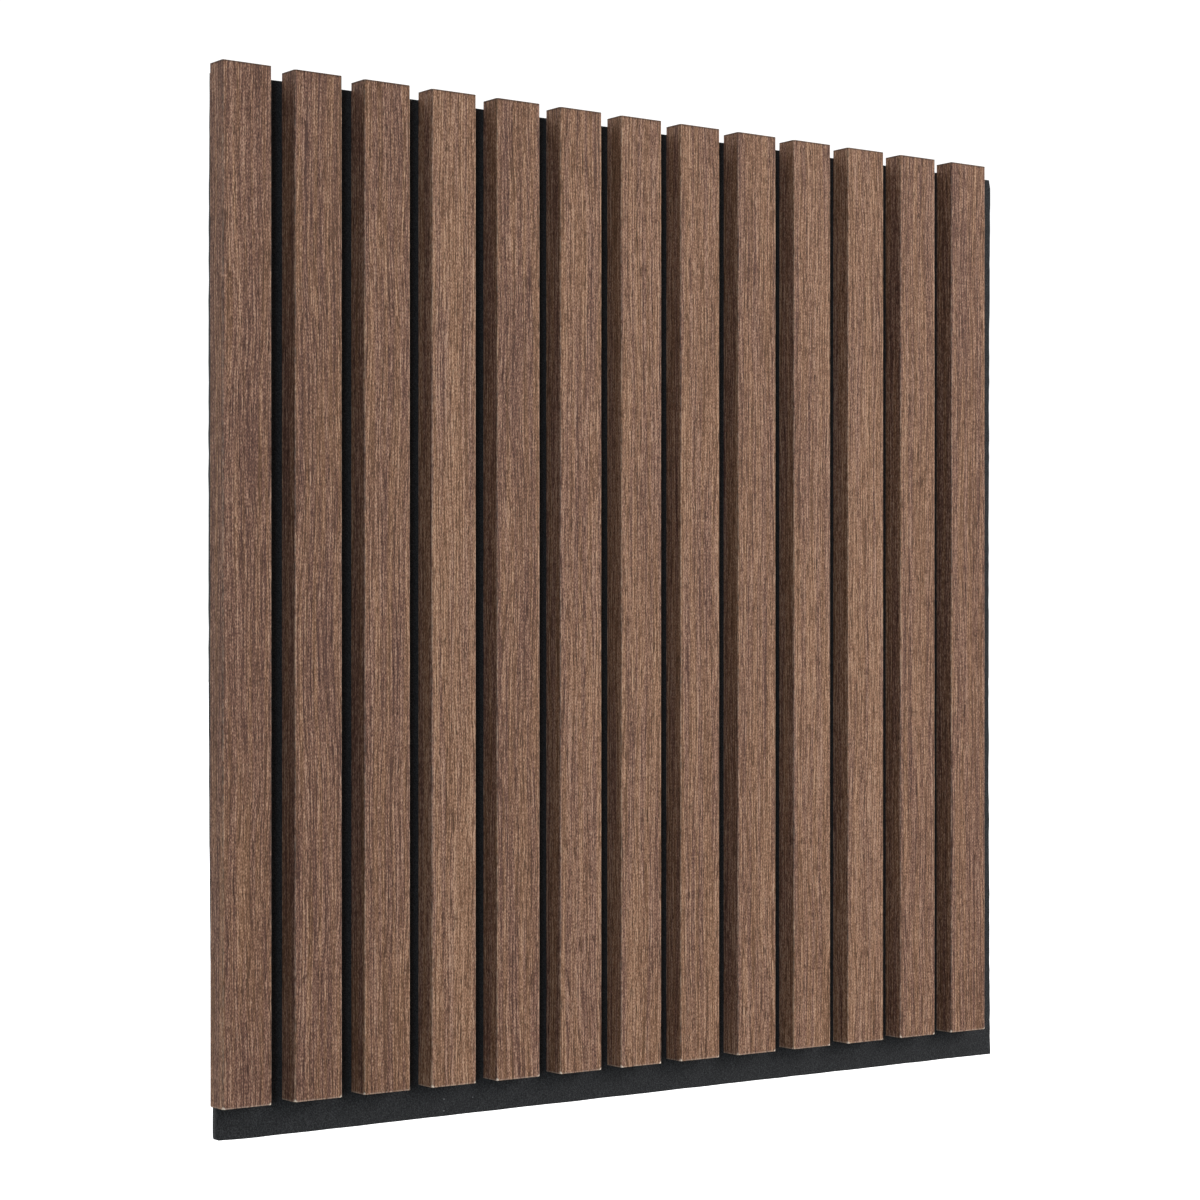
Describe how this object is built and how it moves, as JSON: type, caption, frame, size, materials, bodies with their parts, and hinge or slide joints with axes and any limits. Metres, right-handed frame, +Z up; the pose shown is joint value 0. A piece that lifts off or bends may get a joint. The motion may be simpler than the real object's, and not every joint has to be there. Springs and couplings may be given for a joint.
{
  "type": "acoustic slat wall panel",
  "caption": "Square acoustic wall tile: upright wood-veneered fibreboard slats with even gaps, glued and stapled to a dark felt sheet that laps past them at the right and below.",
  "frame": {"origin": "middle of the felt's back face, which lies on the wall", "axes": "+X to the right as seen from the room, +Y into the wall, +Z up along the slats"},
  "size_m": [0.522, 0.0175, 0.5241],
  "materials": {
    "felt": "pressed polyester felt, matt charcoal",
    "veneer": "straight-grained wood veneer, smoked brown, matt oiled",
    "fibreboard": "raw medium-density fibreboard",
    "staple_wire": "galvanised wire"
  },
  "bodies": {
    "root": {"felt_backing": "felt", "back_staples": "staple_wire", "slat_core_01": "fibreboard", "slat_core_02": "fibreboard", "slat_core_03": "fibreboard", "slat_core_04": "fibreboard", "slat_core_05": "fibreboard", "slat_core_06": "fibreboard", "slat_core_07": "fibreboard", "slat_core_08": "fibreboard", "slat_core_09": "fibreboard", "slat_core_10": "fibreboard", "slat_core_11": "fibreboard", "slat_core_12": "fibreboard", "slat_core_13": "fibreboard", "slat_veneer_01": "veneer", "slat_veneer_02": "veneer", "slat_veneer_03": "veneer", "slat_veneer_04": "veneer", "slat_veneer_05": "veneer", "slat_veneer_06": "veneer", "slat_veneer_07": "veneer", "slat_veneer_08": "veneer", "slat_veneer_09": "veneer", "slat_veneer_10": "veneer", "slat_veneer_11": "veneer", "slat_veneer_12": "veneer", "slat_veneer_13": "veneer"}
  },
  "joints": []
}
